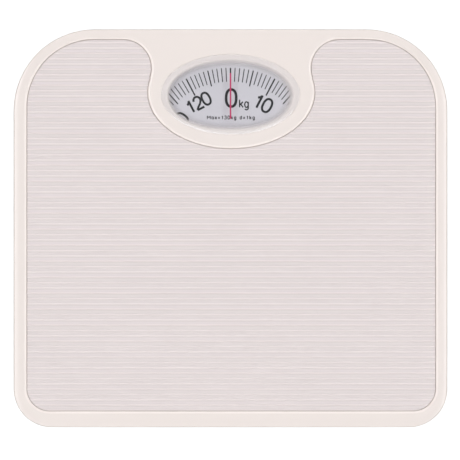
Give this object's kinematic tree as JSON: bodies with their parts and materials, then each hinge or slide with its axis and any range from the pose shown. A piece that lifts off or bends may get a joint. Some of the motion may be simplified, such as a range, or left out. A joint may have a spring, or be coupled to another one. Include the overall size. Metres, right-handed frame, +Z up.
{
  "type": "mechanical dial platform scale",
  "caption": "Low rectangular platform scale with rounded corners, a ribbed foot mat and an oval window over a turning dial, on levers, a spring, a crank and a rack.",
  "frame": {"origin": "on the floor, under the middle of the platform", "axes": "+X to the right, +Y to the rear where the dial window is, +Z up"},
  "size_m": [0.285, 0.2614, 0.052],
  "materials": {
    "white_enamel": "satin stove enamel",
    "mat_rubber": "matt ribbed vinyl",
    "lens_plastic": "clear polished",
    "index_red": "printed",
    "dial_print": "printed",
    "dial_face": "matt printed",
    "foot_rubber": "matt",
    "brass": "bright",
    "spring_steel": "bright wire",
    "wheel_plastic": "moulded, knurled",
    "cast_alloy": "die cast",
    "zinc_steel": "zinc plated"
  },
  "bodies": {
    "base": {"base_tray": "white_enamel", "foot_front_left": "foot_rubber", "foot_front_right": "foot_rubber", "foot_rear_left": "foot_rubber", "foot_rear_right": "foot_rubber", "fulcrum_stand_front_left": "zinc_steel", "fulcrum_stand_front_right": "zinc_steel", "fulcrum_stand_rear_left": "zinc_steel", "fulcrum_stand_rear_right": "zinc_steel", "fulcrum_stand_rivets": "zinc_steel", "spring_bridge": "zinc_steel", "spring_bridge_screws": "zinc_steel", "dial_bridge": "zinc_steel", "dial_bridge_screws": "zinc_steel", "dial_bearing_bush": "brass", "crank_bracket": "zinc_steel", "crank_bracket_rivets": "zinc_steel", "crank_pivot_pin": "zinc_steel", "rack_guides": "brass", "retaining_spring_front_left": "spring_steel", "retaining_spring_front_right": "spring_steel", "retaining_spring_rear_left": "spring_steel", "retaining_spring_rear_right": "spring_steel"},
    "dial": {"dial_disc": "dial_face", "dial_hub": "cast_alloy", "dial_pinion": "brass", "dial_shaft": "zinc_steel", "shaft_clip": "spring_steel"},
    "platform": {"platform_cover": "white_enamel", "foot_mat": "mat_rubber", "window_lens": "lens_plastic", "index_line": "index_red", "platform_post_front_left": "zinc_steel", "platform_post_front_right": "zinc_steel", "platform_post_rear_left": "zinc_steel", "platform_post_rear_right": "zinc_steel", "platform_spring_hooks": "zinc_steel"},
    "long_lever_l": {"long_lever_left": "zinc_steel", "long_lever_left_pins": "zinc_steel"},
    "long_lever_r": {"long_lever_right": "zinc_steel", "long_lever_right_pins": "zinc_steel"},
    "short_lever_l": {"short_lever_left": "zinc_steel", "short_lever_left_pins": "zinc_steel"},
    "short_lever_r": {"short_lever_right": "zinc_steel", "short_lever_right_pins": "zinc_steel"},
    "plate": {"spring_plate": "zinc_steel", "lower_spring_seat": "cast_alloy"},
    "crank_arm": {"crank": "zinc_steel", "crank_finger_pin": "zinc_steel"},
    "rack_bar": {"rack": "brass", "rack_pin": "zinc_steel"},
    "wheel": {"zero_wheel": "wheel_plastic"},
    "hanger": {"spring_hanger": "zinc_steel", "upper_spring_seat": "cast_alloy", "main_spring": "spring_steel"}
  },
  "joints": [
    {"name": "dial_spin", "type": "hinge", "parent": "base", "child": "dial", "pos_m": [0, 0.0428, 0.0446], "axis": [0, 0, 1], "range_deg": [0, 360], "stiffness_Nm_per_rad": 0.0226, "springref_deg": -3.15},
    {"name": "platform_travel", "type": "slide", "parent": "base", "child": "platform", "axis": [0, 0, -1], "range_m": [0, 0.0007], "deforming": ["retaining_spring_front_left", "retaining_spring_front_right", "retaining_spring_rear_left", "retaining_spring_rear_right"]},
    {"name": "long_lever_left_tilt", "type": "hinge", "parent": "base", "child": "long_lever_l", "pos_m": [-0.112, -0.098, 0.021], "axis": [-0.9184, 0.3957, 0], "range_deg": [0, 1.67]},
    {"name": "long_lever_right_tilt", "type": "hinge", "parent": "base", "child": "long_lever_r", "pos_m": [0.112, -0.098, 0.021], "axis": [-0.9184, -0.3957, 0], "range_deg": [0, 1.67]},
    {"name": "short_lever_left_tilt", "type": "hinge", "parent": "base", "child": "short_lever_l", "pos_m": [-0.112, 0.09, 0.021], "axis": [0.8535, 0.521, 0], "range_deg": [0, 2.2]},
    {"name": "short_lever_right_tilt", "type": "hinge", "parent": "base", "child": "short_lever_r", "pos_m": [0.112, 0.09, 0.021], "axis": [0.8535, -0.521, 0], "range_deg": [0, 2.2]},
    {"name": "spring_plate_travel", "type": "slide", "parent": "base", "child": "plate", "axis": [0, 0, -1], "range_m": [0, 0.00678], "deforming": ["main_spring"]},
    {"name": "crank_swing", "type": "hinge", "parent": "base", "child": "crank_arm", "pos_m": [0.00475, 0.0935, 0.0146], "axis": [-1, 0, 0], "range_deg": [0, 36.6]},
    {"name": "rack_travel", "type": "slide", "parent": "base", "child": "rack_bar", "axis": [0, 1, 0], "range_m": [0, 0.01508]},
    {"name": "zero_wheel_turn", "type": "hinge", "parent": "base", "child": "wheel", "pos_m": [0, 0.1155, 0.041], "axis": [0, 0, 1], "range_deg": [-180, 180]},
    {"name": "hanger_adjust", "type": "slide", "parent": "base", "child": "hanger", "axis": [0, 0, 1], "range_m": [-0.0004, 0.0004]}
  ],
  "couplings": [
    {"joint": "dial_spin", "follows": "platform_travel", "rad_per_m": 8976},
    {"joint": "long_lever_left_tilt", "follows": "platform_travel", "rad_per_m": 41.673},
    {"joint": "long_lever_right_tilt", "follows": "platform_travel", "rad_per_m": 41.673},
    {"joint": "short_lever_left_tilt", "follows": "platform_travel", "rad_per_m": 54.871},
    {"joint": "short_lever_right_tilt", "follows": "platform_travel", "rad_per_m": 54.871},
    {"joint": "spring_plate_travel", "follows": "platform_travel", "ratio": 9.6866},
    {"joint": "crank_swing", "follows": "platform_travel", "rad_per_m": 912.49},
    {"joint": "rack_travel", "follows": "platform_travel", "ratio": 21.542},
    {"joint": "zero_wheel_turn", "follows": "hanger_adjust", "rad_per_m": 7854}
  ]
}
